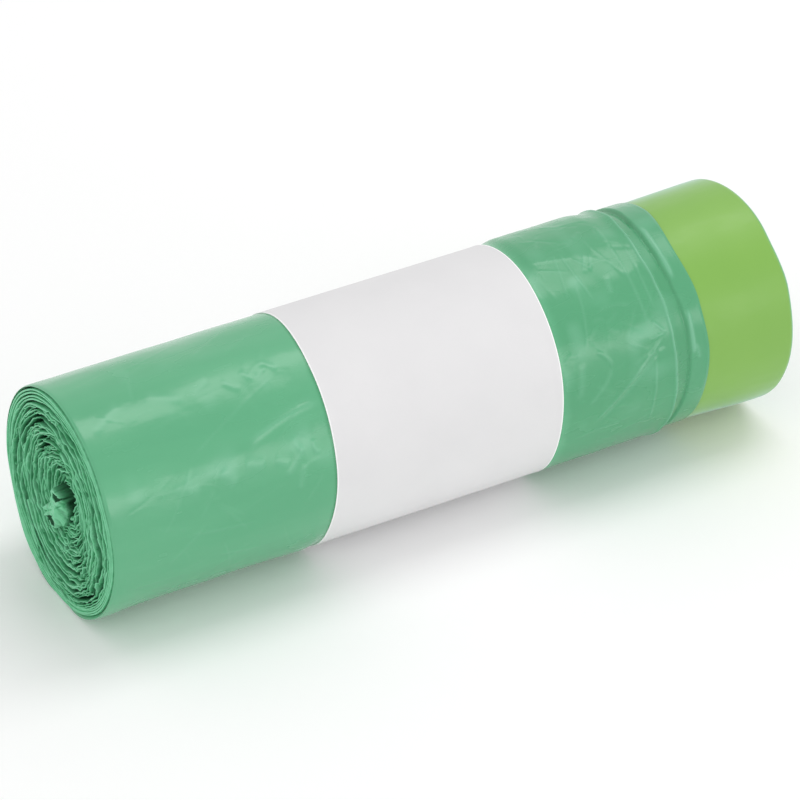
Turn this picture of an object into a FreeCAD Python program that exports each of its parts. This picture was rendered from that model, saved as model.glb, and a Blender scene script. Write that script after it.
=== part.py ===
import FreeCAD, Part
import math
import os

# A roll of drawstring bin bags, lying on its side along X, held by a paper band.
# The folded bottoms of the bags show as wound turns at -X, and their mouths are at +X,
# where a tape runs inside the hem. All sizes are millimetres, and the origin is on the
# surface that the roll lies on, under the middle of its length.

# Whole roll
roll_length = 244.0
long_diameter = 79.8
short_diameter = 72.2
lean_deg = 104.5            # direction of the long diameter, from +Y towards +Z
flat_depth = 0.8            # how far the soft roll is pressed flat where it lies

# Paper band round the middle
band_from_fold_end = 79.0   # from the fold end of the roll to the paper's edge
band_width = 80.5
paper_thickness = 0.3
paper_fit = 0.02            # room between the paper and the film
film_below_paper = 0.25     # how far the bare film lies under the paper's face
lap_from_deg = 208.0        # where the glued lap starts, round from the long diameter
lap_to_deg = 228.0

# Film surface between the band and the hem
ridge_from_mouth = 45.6     # raised fold beside the hem, from the mouth end
ridge_run = 9.0             # length over which the film rises to that fold
ridge_inset = 0.02
valley_width = 6.6          # from the fold to the bottom of the groove
valley_inset = 2.2
seam_width = 8.2            # welded strip between the groove and the tape
seam_inset = 0.9
seam_rise = 1.4             # length over which the strip rises out of the groove
ridge_fall = 1.8            # length over which the fold drops towards the groove
ridge_drop = 0.9

# Tape in the hem
tape_width = 30.6
tape_inset = 1.0
tape_thickness = 1.2
tape_fit = 0.04             # room between the outer turn of tape and the film
turn_fit = 0.15             # room on each side of the inner turns of tape
tape_from_edge = 0.5        # how far the tape's edge stands back inside the hem
tape_pitch = 3.7
tape_turn_thickness = 0.9
tape_turns = 5.2
tape_drop = 0.15            # share of a turn over which it leaves the outer turn
tape_ripple = 0.3
tape_points_per_turn = 20
mouth_hollow_long = 15.0
mouth_hollow_short = 10.0
mouth_hollow_depth = 14.0

# Wound turns at the fold end
step_count = 3              # outer turns that stand back one after the other
step_back = 0.55
step_inset = 0.95
edge_round = 0.6            # how far the outermost turn's edge curls in
edge_run = 2.6              # length over which it curls in
first_slot_inset = 4.0
turn_pitch = 2.3
turn_slots = 8.6
slot_width = 0.5
slot_depth = 7.5
pleats_per_turn = 14
pleat_height = 0.62
smooth_turns = 1.6          # outer turns without pleats
pleat_growth_turns = 3.0    # turns over which the pleats reach their full height
wide_gap_turns = (2.35, 5.35)   # turns where the winding has parted
wide_gap_length = 0.5       # share of a turn that each parting runs
wide_gap_width = 1.6
dish_inset = 11.5
dish_floor_inset = 24.5
dish_depth = 4.2

# Hollow and crumpled first winding in the middle of the fold end
hollow_long = 24.0
hollow_short = 19.0
hollow_depth = 11.0
hollow_angle = 135.0        # direction of its long side, from +Y towards +Z
hollow_y = -3.8             # its middle, from the roll's axis
hollow_z = 2.0
tuft_y = 3.8
tuft_z = -4.0
tuft_long = 22.5
tuft_short = 8.6
tuft_below_edge = 1.4
tuft_folds = 6              # creases along each side of the crumple
tuft_fold_height = 0.7
tuft_mouths = ((5.6, -0.6, 5.0, 2.2), (-5.6, 0.6, 7.0, 3.0))  # along, across, long, wide
tuft_mouth_depth = 6.5

# Room for cutting tools past a face
clear = 2.0

long_radius = long_diameter / 2
short_radius = short_diameter / 2
fold_end = -roll_length / 2
mouth_end = roll_length / 2
band_start = fold_end + band_from_fold_end
band_end = band_start + band_width
tape_start = mouth_end - tape_width
lean = math.radians(lean_deg)
lowest = math.hypot(long_radius * math.sin(lean), short_radius * math.cos(lean))
centre_height = lowest - flat_depth
X_AXIS = FreeCAD.Vector(1, 0, 0)


def section_point(x, along, across):
    """Point at x, from distances along and across the long diameter."""
    y = along * math.cos(lean) - across * math.sin(lean)
    z = along * math.sin(lean) + across * math.cos(lean)
    return FreeCAD.Vector(x, y, z + centre_height)


def oval_point(x, angle, inset):
    """Point on the roll's oval, drawn in by inset, at an angle from the long diameter."""
    return section_point(
        x,
        (long_radius - inset) * math.cos(angle),
        (short_radius - inset) * math.sin(angle),
    )


def oval_wire(x, inset):
    """The roll's oval outline at x, drawn in by inset."""
    ellipse = Part.Ellipse(
        oval_point(x, 0, inset), oval_point(x, math.pi / 2, inset), section_point(x, 0, 0)
    )
    return Part.Wire([ellipse.toShape()])


def oval_disc(start, end, inset):
    """A solid oval slice of the roll from start to end along X."""
    return Part.Face(oval_wire(start, inset)).extrude(X_AXIS * (end - start))


def outline_prism(points, depth):
    """A straight-sided solid over a closed outline, depth long along X."""
    wire = Part.makePolygon(points + [points[0]])
    return Part.Face(wire).extrude(X_AXIS * depth)


def stack(stations):
    """A solid of oval sections, given as pairs of x and inset, joined one to the next."""
    wires = [oval_wire(x, inset) for x, inset in stations]
    return Part.makeLoft(wires, True, True)


def floor_box(start, end, top):
    """Everything lower than top, from start to end along X."""
    size = 2 * long_diameter
    return Part.makeBox(end - start, 2 * size, size, FreeCAD.Vector(start, -size, top - size))


def below_floor():
    """Everything under the surface that the roll lies on."""
    return floor_box(fold_end - clear, mouth_end + clear, 0)


def ripple(turn):
    """Uneven waves round a turn, between about -1 and 1."""
    angle = 2 * math.pi * turn
    return 0.6 * math.sin(5 * angle) + 0.4 * math.sin(8.4 * angle)


def spiral_strip(x, depth, count, per_turn, line, widths, start_deg):
    """A strip wound as a spiral: line gives its inset and widths its thickness by turn."""
    steps = int(round(count * per_turn))
    outer = []
    inner = []
    for i in range(steps + 1):
        turn = i / per_turn
        angle = math.radians(start_deg) + 2 * math.pi * turn
        half = widths(turn) / 2
        outer.append(oval_point(x, angle, line(turn) - half))
        inner.append(oval_point(x, angle, line(turn) + half))
    return outline_prism(outer + inner[::-1], depth)


def pleat(turn):
    """Height of the zigzag pleats of the fold end, which start after the smooth turns."""
    grown = (turn - smooth_turns) / pleat_growth_turns
    size = pleat_height * min(1.0, max(0.0, grown))
    side = 1 if int(round(turn * 2 * pleats_per_turn)) % 2 else -1
    return size * (0.7 * side + 0.3 * math.sin(9.7 * turn))


def gap_width(turn):
    """Width of the gap between two turns, which parts wider along some stretches."""
    half = wide_gap_length / 2
    off = min(abs(turn - start - half) / half for start in wide_gap_turns)
    return slot_width + (wide_gap_width - slot_width) * max(0.0, 1 - off * off)


def turn_line(turn):
    """Inset of the gap between two turns at the fold end."""
    return first_slot_inset + turn_pitch * turn + pleat(turn)


def hem_line(turn):
    """Inset of the middle of the tape as it leaves its outer turn and winds inwards."""
    start = tape_inset + tape_thickness / 2 + 2 * tape_fit
    dropped = min(1.0, turn / tape_drop)
    wound = turn + dropped
    return start + tape_pitch * wound + tape_ripple * dropped * ripple(turn)


def rounded_oval(x, depth, length, width, angle_deg, dy, dz):
    """A straight oval solid for hollows, centred off the roll's middle by dy and dz."""
    turn = math.radians(angle_deg)
    centre = FreeCAD.Vector(x, dy, centre_height + dz)
    along = FreeCAD.Vector(0, math.cos(turn), math.sin(turn))
    across = FreeCAD.Vector(0, -math.sin(turn), math.cos(turn))
    ellipse = Part.Ellipse(centre + along * (length / 2), centre + across * (width / 2), centre)
    return Part.Face(Part.Wire([ellipse.toShape()])).extrude(X_AXIS * depth)


def film_body():
    """The outer form of the wound bags, from the stepped fold end to the hem."""
    bare = film_below_paper
    under = paper_thickness + paper_fit
    ridge = mouth_end - ridge_from_mouth
    groove = ridge + valley_width
    curl_start = fold_end + step_count * step_back
    return stack([
        (curl_start, bare + edge_round),
        (curl_start + edge_run, bare),
        (band_start - 2 * paper_fit, bare),
        (band_start - paper_fit, under),
        (band_end + paper_fit, under),
        (band_end + 2 * paper_fit, bare),
        (ridge - ridge_run, bare),
        (ridge, ridge_inset),
        (ridge + ridge_fall, ridge_drop),
        (groove, valley_inset),
        (groove + seam_rise, seam_inset),
        (groove + seam_width, seam_inset),
    ])


def outer_steps():
    """The outer turns at the fold end, each standing a little further out than the last."""
    turns = []
    for i in range(step_count):
        inset = film_below_paper + edge_round + step_inset * (i + 1)
        start = fold_end + step_back * (step_count - 1 - i)
        turns.append(oval_disc(start, fold_end + step_back * step_count + edge_run, inset))
    return turns


def dish():
    """The shallow dish where the inner turns stand back from the outer ones."""
    slope = (dish_floor_inset - dish_inset) / dish_depth
    return stack([
        (fold_end - clear, dish_inset - slope * clear),
        (fold_end + dish_depth, dish_floor_inset),
    ])


def fold_end_hollow():
    """The hollow in the middle of the fold end."""
    return rounded_oval(
        fold_end - clear, clear + hollow_depth, hollow_long, hollow_short,
        hollow_angle, hollow_y, hollow_z,
    )


def tuft_point(along, across):
    """Point on the crumple's top, from distances along and across it."""
    turn = math.radians(hollow_angle)
    return FreeCAD.Vector(
        fold_end + tuft_below_edge,
        tuft_y + along * math.cos(turn) - across * math.sin(turn),
        centre_height + tuft_z + along * math.sin(turn) + across * math.cos(turn),
    )


def tuft():
    """The crumpled first winding, a folded leaf shape with two mouths in it."""
    points = []
    for side in (-1, 1):
        for i in range(2 * tuft_folds):
            share = side * (1 - i / tuft_folds)
            fold = tuft_fold_height * (i % 2)
            across = tuft_short / 2 * math.sqrt(1 - share * share) - fold
            points.append(tuft_point(share * tuft_long / 2, side * across))
    leaf = outline_prism(points, hollow_depth - tuft_below_edge + clear)
    for along, across, length, width in tuft_mouths:
        corners = [
            tuft_point(along - length / 2, across - width / 2),
            tuft_point(along + length / 2, across),
            tuft_point(along - length / 2, across + width / 2),
        ]
        leaf = leaf.cut(outline_prism(corners, tuft_mouth_depth))
    return leaf


def turn_gaps():
    """The spiral gap between the wound turns at the fold end."""
    return spiral_strip(
        fold_end - clear, clear + slot_depth, turn_slots, 2 * pleats_per_turn,
        turn_line, gap_width, 0.0,
    )


def outer_tape(start, end):
    """The tape's outer turn, a closed ring."""
    ring = oval_disc(start, end, tape_inset)
    return ring.cut(oval_disc(start - clear, end + clear, tape_inset + tape_thickness))


def inner_tape(start, end, room):
    """The tape's inner turns, with some room on each side."""
    return spiral_strip(
        start, end - start, tape_turns, tape_points_per_turn,
        hem_line, lambda turn: tape_turn_thickness + 2 * room, 0.0,
    )


def mouth_hollow():
    """The small hollow left in the middle of the mouth end."""
    return rounded_oval(
        mouth_end - mouth_hollow_depth, mouth_hollow_depth + clear,
        mouth_hollow_long, mouth_hollow_short, hollow_angle, 0, 0,
    )


def bag_roll():
    """All the turns of bag film as one solid, with the pocket that holds the tape."""
    hem_core = oval_disc(tape_start - clear, mouth_end, tape_inset + tape_thickness + tape_fit)
    lip = oval_disc(mouth_end - tape_from_edge + tape_fit, mouth_end, tape_inset)
    roll = film_body().fuse([hem_core, lip] + outer_steps())
    roll = roll.cut(dish()).cut(fold_end_hollow()).cut(turn_gaps()).fuse(tuft())
    pocket = inner_tape(tape_start, mouth_end + clear, turn_fit)
    roll = roll.cut(pocket).cut(mouth_hollow()).cut(below_floor())
    under_paper = floor_box(band_start - paper_fit, band_end + paper_fit, paper_thickness + paper_fit)
    return roll.cut(under_paper)


def draw_tape():
    """The tape that closes the bags, wound inside the hem, as one solid."""
    start = tape_start + tape_fit
    end = mouth_end - tape_from_edge
    outer = outer_tape(start, end)
    inner = inner_tape(start, end, 0.0)
    tape = outer.fuse(inner)
    return tape.cut(mouth_hollow()).cut(below_floor())


def paper_band():
    """The paper band, a tube with its glued lap on the far side of the roll."""
    inside = oval_disc(band_start - clear, band_end + clear, paper_thickness)
    inside = inside.cut(floor_box(band_start - clear, band_end + clear, paper_thickness))
    tube = oval_disc(band_start, band_end, 0.0).cut(inside)
    steps = 8
    outer = []
    inner = []
    for i in range(steps + 1):
        angle = math.radians(lap_from_deg + (lap_to_deg - lap_from_deg) * i / steps)
        rise = paper_thickness * min(1.0, 2.0 * i / steps)
        outer.append(oval_point(band_start, angle, -rise))
        inner.append(oval_point(band_start, angle, paper_thickness / 2))
    lap = outline_prism(outer + inner[::-1], band_width)
    return tube.fuse(lap).cut(below_floor())


def save(name, shape):
    """Writes one part and prints what it holds."""
    solids = shape.Solids
    solid = solids[0] if len(solids) == 1 else shape
    solid.exportStep(os.path.join("parts", name + ".step"))
    box = solid.BoundBox
    print(name, "solids", len(solids), "faces", len(solid.Faces), "valid", solid.isValid(),
          "volume", round(solid.Volume), "x", round(box.XMin, 2), round(box.XMax, 2),
          "y", round(box.YMin, 2), round(box.YMax, 2), "z", round(box.ZMin, 2), round(box.ZMax, 2))


os.makedirs("parts", exist_ok=True)
save("bag_roll", bag_roll())
save("draw_tape", draw_tape())
save("paper_band", paper_band())
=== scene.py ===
"""A roll of drawstring bin bags, dressed over its CAD frame: wound film, hem tape and paper band.

Lengths are in millimetres and angles are in degrees from +Y towards +Z, unless a line says otherwise.
"""

import logging
import math
from dataclasses import dataclass
from enum import Enum

import bpy
import numpy as np
from mathutils import Matrix, Vector


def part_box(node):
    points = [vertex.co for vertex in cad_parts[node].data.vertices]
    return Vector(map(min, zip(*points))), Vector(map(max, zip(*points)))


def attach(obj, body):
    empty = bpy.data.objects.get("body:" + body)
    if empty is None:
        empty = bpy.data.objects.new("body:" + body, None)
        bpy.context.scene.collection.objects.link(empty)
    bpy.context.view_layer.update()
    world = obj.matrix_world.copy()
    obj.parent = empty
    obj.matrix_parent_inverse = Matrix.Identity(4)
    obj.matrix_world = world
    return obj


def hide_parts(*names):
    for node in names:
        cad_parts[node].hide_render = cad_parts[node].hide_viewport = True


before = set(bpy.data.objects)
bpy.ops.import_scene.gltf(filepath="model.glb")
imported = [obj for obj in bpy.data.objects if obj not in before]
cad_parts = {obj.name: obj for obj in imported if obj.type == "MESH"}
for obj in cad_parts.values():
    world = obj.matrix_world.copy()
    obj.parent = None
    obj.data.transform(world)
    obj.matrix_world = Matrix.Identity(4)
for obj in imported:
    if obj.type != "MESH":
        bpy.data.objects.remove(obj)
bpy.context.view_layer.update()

MM = 0.001
SEAM = 0.002
MOST_CREASED = 1.5
Knots = tuple[tuple[float, float], ...]
Triple = tuple[float, float, float]
log = logging.getLogger("bin_bag_roll")

# By angle: how far the outermost film stands back at the fold end.
RIM_BACK: Knots = ((0.0, -0.9), (50.0, -0.4), (90.0, 0.4), (140.0, 1.3), (180.0, 2.1), (220.0, 1.7), (260.0, 0.4),
                   (310.0, -0.8))
# By angle: how far the hem's film lies inside the paper's face beside the tape.
HEM_INSET: Knots = ((60.0, 0.5), (90.0, 0.4), (140.0, 0.8), (200.0, 0.9), (300.0, 1.1))
# By angle: where the hem's ridge, its groove and the edge of its tape run along the roll.
HEM_RIDGE: Knots = ((81.0, 77.8), (97.0, 77.0), (112.0, 76.7), (126.0, 77.5), (141.0, 78.4), (155.0, 78.9),
                    (170.0, 79.3), (190.0, 80.0), (210.0, 80.6), (300.0, 78.0))
HEM_GROOVE: Knots = ((78.0, 82.0), (90.0, 81.5), (105.0, 81.3), (118.0, 81.8), (130.0, 82.7), (142.0, 83.7),
                     (155.0, 84.4), (170.0, 84.6), (190.0, 84.1), (209.0, 83.4), (300.0, 82.6))
TAPE_EDGE: Knots = ((84.0, 90.4), (112.0, 89.1), (142.0, 91.1), (171.0, 92.3), (208.0, 91.7), (300.0, 90.9))
# By angle: how far the paper's two cut edges wander from their places.
BAND_LEFT: Knots = ((72.0, 1.4), (120.0, 0.3), (165.0, 0.0), (215.0, -1.2), (300.0, 0.0))
BAND_RIGHT: Knots = ((60.0, -0.5), (110.0, 0.2), (150.0, 0.4), (200.0, -0.3), (300.0, 0.0))

# The creases that stand out: place and angle of each end, height, width and bow.
CREASES: tuple[tuple[float, ...], ...] = (
    (-91.0, 140.8, -51.9, 113.3, 0.10, 0.4, -0.6),
    (-104.1, 175.0, -89.5, 139.5, 0.09, 0.4, 1.0),
    (-71.0, 142.0, -43.0, 132.5, 0.34, 1.1, -1.6),
    (-69.0, 140.0, -44.0, 129.5, -0.16, 0.9, -1.2),
    (-55.6, 144.0, -53.2, 153.5, 0.24, 0.9, 0.6),
    (-53.0, 148.5, -60.6, 162.5, 0.24, 1.1, -1.0),
    (-49.6, 148.0, -48.0, 156.5, 0.24, 0.8, 0.5),
    (-53.0, 158.5, -55.8, 172.0, 0.18, 1.0, 0.6),
    (-63.5, 152.0, -58.0, 157.0, 0.22, 1.4),
    (-73.5, 150.0, -66.0, 153.0, 0.26, 2.0),
    (-81.5, 149.5, -76.5, 158.5, 0.26, 2.0),
    (-98.0, 151.0, -88.0, 156.0, 0.16, 1.8),
    (-71.5, 109.5, -66.0, 116.5, 0.20, 1.1, 0.4),
    (-57.5, 106.5, -52.5, 113.0, 0.20, 1.0, -0.4),
    (-61.0, 114.0, -55.0, 108.5, -0.20, 0.9),
    (-64.5, 108.0, -61.0, 114.0, 0.18, 0.9),
    (-96.0, 104.0, -84.0, 113.0, 0.16, 1.6, 0.8),
    (-118.0, 116.0, -104.0, 104.0, 0.18, 1.6, 0.6),
    (-82.0, 112.0, -74.0, 107.0, -0.16, 1.2),
    (48.4, 192.5, 76.8, 152.0, 0.32, 0.5),
    (50.0, 194.5, 77.0, 154.0, -0.18, 0.8),
    (72.6, 144.0, 76.9, 152.0, 0.24, 0.4),
    (70.5, 153.0, 76.9, 151.5, 0.18, 0.4),
    (72.0, 160.0, 71.7, 207.0, 0.24, 0.4),
    (52.5, 97.0, 55.6, 128.0, 0.17, 0.45, 0.8),
    (50.6, 97.0, 47.0, 124.0, 0.15, 0.45),
    (51.6, 116.0, 47.8, 150.0, 0.13, 0.45, -0.5),
    (41.0, 99.0, 57.0, 103.5, 0.14, 0.45),
    (41.5, 104.0, 52.0, 110.0, 0.15, 0.45),
    (55.0, 103.5, 60.0, 113.0, 0.17, 0.45),
    (60.0, 103.0, 56.0, 113.0, 0.17, 0.4),
    (62.0, 103.0, 58.5, 113.5, 0.17, 0.4),
    (56.5, 112.5, 61.5, 109.0, 0.15, 0.4),
    (63.0, 117.0, 62.0, 127.0, 0.22, 1.0, 0.4),
    (51.0, 150.0, 56.6, 160.5, 0.18, 0.6, -0.8),
    (56.6, 160.0, 46.5, 178.0, 0.16, 0.7, -1.0),
    (46.0, 153.0, 43.4, 174.0, 0.18, 1.2),
    (70.0, 84.0, 72.0, 150.0, 0.15, 0.6, 1.4),
    (74.2, 100.0, 74.8, 140.0, 0.15, 0.5, 0.8),
    (62.0, 93.0, 70.0, 122.0, 0.10, 0.5, 1.0),
    (42.0, 200.0, 66.0, 196.0, 0.10, 0.6, -0.8),
    (83.3, 96.0, 84.6, 129.0, 0.34, 0.7),
    (86.1, 143.0, 86.6, 169.0, 0.34, 0.65),
    (87.4, 162.0, 88.4, 172.0, 0.12, 0.5),
)
# The places where the film is crumpled: place, angle, reach along, reach round and how badly.
CRUMPLED: tuple[tuple[float, ...], ...] = (
    (-60.0, 119.0, 13.0, 9.0, 0.9), (-50.0, 150.0, 12.0, 12.0, 1.0), (-84.0, 122.0, 10.0, 7.0, 0.5),
    (-100.0, 150.0, 14.0, 8.0, 0.6), (-77.0, 151.0, 12.0, 9.0, 0.7), (-85.0, 86.0, 34.0, 7.0, 0.45),
    (-68.0, 300.0, 16.0, 20.0, 0.8), (-90.0, 30.0, 14.0, 16.0, 0.7), (50.0, 110.0, 10.0, 12.0, 1.0),
    (66.0, 150.0, 10.0, 16.0, 0.7), (55.0, 330.0, 14.0, 22.0, 0.8), (60.0, 240.0, 12.0, 18.0, 0.7),
)


def smooth(t: np.ndarray) -> np.ndarray:
    """Eases t from 0 to 1 with level ends."""
    t = np.clip(t, 0.0, 1.0)
    return t * t * (3.0 - 2.0 * t)


def bell(t: np.ndarray) -> np.ndarray:
    """A bump that is 1 where t is 0 and dies away on both sides."""
    return np.exp(-t ** 2)


def wander(s: np.ndarray, length: float, seed: int, sharp: bool = False) -> np.ndarray:
    """Uneven but repeatable line between -1 and 1.

    Args:
        s: Distance along the line.
        length: Distance between one swell and the next.
        seed: Picks the line.
        sharp: Whether it turns in corners, as a pleat does.

    Returns:
        The height of the line at each distance.
    """
    u = s / length
    low = math.floor(float(u.min()))
    knots = np.random.default_rng(seed).uniform(-1.0, 1.0, int(u.max() - low) + 3)
    i = np.floor(u).astype(int) - low
    f = u - np.floor(u)
    f = f if sharp else smooth(f)
    return knots[i] * (1.0 - f) + knots[i + 1] * f


def quilt(x: np.ndarray, phi: np.ndarray, length: float, swells: int, seed: int) -> np.ndarray:
    """Uneven but repeatable surface between -1 and 1, closed on itself round the roll.

    Args:
        x: Place along the roll, or distance from its axis.
        phi: Angle round the roll.
        length: Distance between one swell and the next.
        swells: Number of swells in one turn.
        seed: Picks the surface.

    Returns:
        The height of the surface at each place.
    """
    u, v = x / length, phi / 360.0 * swells
    iu, iv = np.floor(u).astype(int), np.floor(v).astype(int)
    fu, fv = smooth(u - iu), smooth(v - iv)
    low = int(iu.min())
    grid = np.random.default_rng(seed).uniform(-1.0, 1.0, (int(iu.max()) - low + 2, swells))
    iu, iv = iu - low, iv % swells
    nv = (iv + 1) % swells
    near = grid[iu, iv] * (1.0 - fv) + grid[iu, nv] * fv
    far = grid[iu + 1, iv] * (1.0 - fv) + grid[iu + 1, nv] * fv
    return near * (1.0 - fu) + far * fu


def around(phi: np.ndarray, knots: Knots) -> np.ndarray:
    """Value at each angle round the roll, eased from one knot to the next.

    Args:
        phi: Angle round the roll.
        knots: The angle and the value of each knot, in order round the roll.

    Returns:
        The value at each angle.
    """
    degrees = np.array([knot[0] for knot in knots] + [knots[0][0] + 360.0])
    values = np.array([knot[1] for knot in knots] + [knots[0][1]])
    p = (phi - degrees[0]) % 360.0 + degrees[0]
    i = np.clip(np.searchsorted(degrees, p, side="right") - 1, 0, len(degrees) - 2)
    f = smooth((p - degrees[i]) / (degrees[i + 1] - degrees[i]))
    return values[i] * (1.0 - f) + values[i + 1] * f


def between(value: np.ndarray, knots: Knots) -> np.ndarray:
    """Carries each number straight from one knot to the next."""
    return np.interp(value, *np.array(knots).T)


@dataclass(frozen=True)
class Oval:
    """The roll's section: a slightly flattened round, lying on the floor."""

    mean: float = 38.0
    flattening: float = 0.05
    short_deg: float = 14.5
    height: float = 38.87

    def radius(self, phi: np.ndarray) -> np.ndarray:
        """Distance from the axis to the outside of the paper, at an angle from +Y."""
        return self.mean * (1.0 - self.flattening * np.cos(np.radians(2.0 * (phi - self.short_deg))))

    def place(self, x: np.ndarray, phi: np.ndarray, inset: np.ndarray,
              floor: float | np.ndarray = 0.0) -> np.ndarray:
        """Points on the roll, in metres.

        Args:
            x: Place along the roll.
            phi: Angle round the roll.
            inset: How far inside the paper's face.
            floor: Lowest height that the points may have.

        Returns:
            One row of X, Y and Z for each point.
        """
        r = self.radius(phi) - inset
        y = r * np.cos(np.radians(phi))
        z = self.height + r * np.sin(np.radians(phi))
        return np.stack([x, y, np.maximum(z, floor)], axis=1) * MM


OVAL = Oval()


def single_out(piece: bpy.types.Object) -> None:
    """Selects one piece alone and makes it the active one."""
    bpy.ops.object.select_all(action="DESELECT")
    piece.select_set(True)
    bpy.context.view_layer.objects.active = piece


def flat_web(name: str, columns: int, rows: int) -> tuple[bpy.types.Object, np.ndarray, np.ndarray]:
    """Lays out a flat web of film, ready to be wound.

    Args:
        name: The piece's name.
        columns: Faces along the web.
        rows: Faces across the web.

    Returns:
        The object, and each vertex's place along and across the web, from 0 to 1.
    """
    bpy.ops.object.select_all(action="DESELECT")
    bpy.ops.mesh.primitive_grid_add(x_subdivisions=columns, y_subdivisions=rows, size=1.0)
    web = bpy.context.object
    web.name = name
    web.data.name = name
    flat = np.empty(len(web.data.vertices) * 3)
    web.data.vertices.foreach_get("co", flat)
    flat = flat.reshape(-1, 3)
    return web, flat[:, 0] + 0.5, flat[:, 1] + 0.5


def wind(web: bpy.types.Object, points: np.ndarray) -> None:
    """Moves the web's vertices to their places on the roll, in metres."""
    web.data.vertices.foreach_set("co", points.astype(np.float32).ravel())
    web.data.update()


def turn_outwards(piece: bpy.types.Object, seam: float = 0.0) -> None:
    """Turns a piece's faces outwards, once its seam is joined.

    Args:
        piece: The piece.
        seam: Vertices closer together than this are joined.
    """
    single_out(piece)
    bpy.ops.object.mode_set(mode="EDIT")
    bpy.ops.mesh.select_all(action="SELECT")
    if seam > 0.0:
        bpy.ops.mesh.remove_doubles(threshold=seam * MM)
    bpy.ops.mesh.normals_make_consistent(inside=False)
    bpy.ops.object.mode_set(mode="OBJECT")


def soften(piece: bpy.types.Object, degrees: float = 60.0) -> None:
    """Shades the piece smooth, except over folds sharper than an angle."""
    single_out(piece)
    bpy.ops.object.shade_smooth_by_angle(angle=math.radians(degrees))


def mark(piece: bpy.types.Object, name: str, values: np.ndarray) -> None:
    """Stores one number for each vertex, which a finish can read."""
    layer = piece.data.attributes.new(name, "FLOAT", "POINT")
    layer.data.foreach_set("value", values.astype(np.float32))


def hand_over(piece: bpy.types.Object, finish: bpy.types.Material, node: str) -> None:
    """Dresses a piece and hands it to the frame in place of its CAD node.

    Args:
        piece: The finished piece.
        finish: Its material.
        node: The CAD node that it stands for.
    """
    piece.data.materials.clear()
    piece.data.materials.append(finish)
    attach(piece, "root")
    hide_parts(node)
    log.info("%s: %d faces", piece.name, len(piece.data.polygons))


class Shine(Enum):
    """How glossy a surface is, as a roughness."""

    FILM = 0.21
    FILM_EDGE = 0.4
    TAPE = 0.43
    PAPER = 0.82


@dataclass(frozen=True)
class Grain:
    """An uneven pattern in a surface.

    Attributes:
        per_metre: How often it swells in a metre along X, Y and Z.
        detail: How many finer levels lie over it.
    """

    per_metre: Triple
    detail: float


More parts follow.
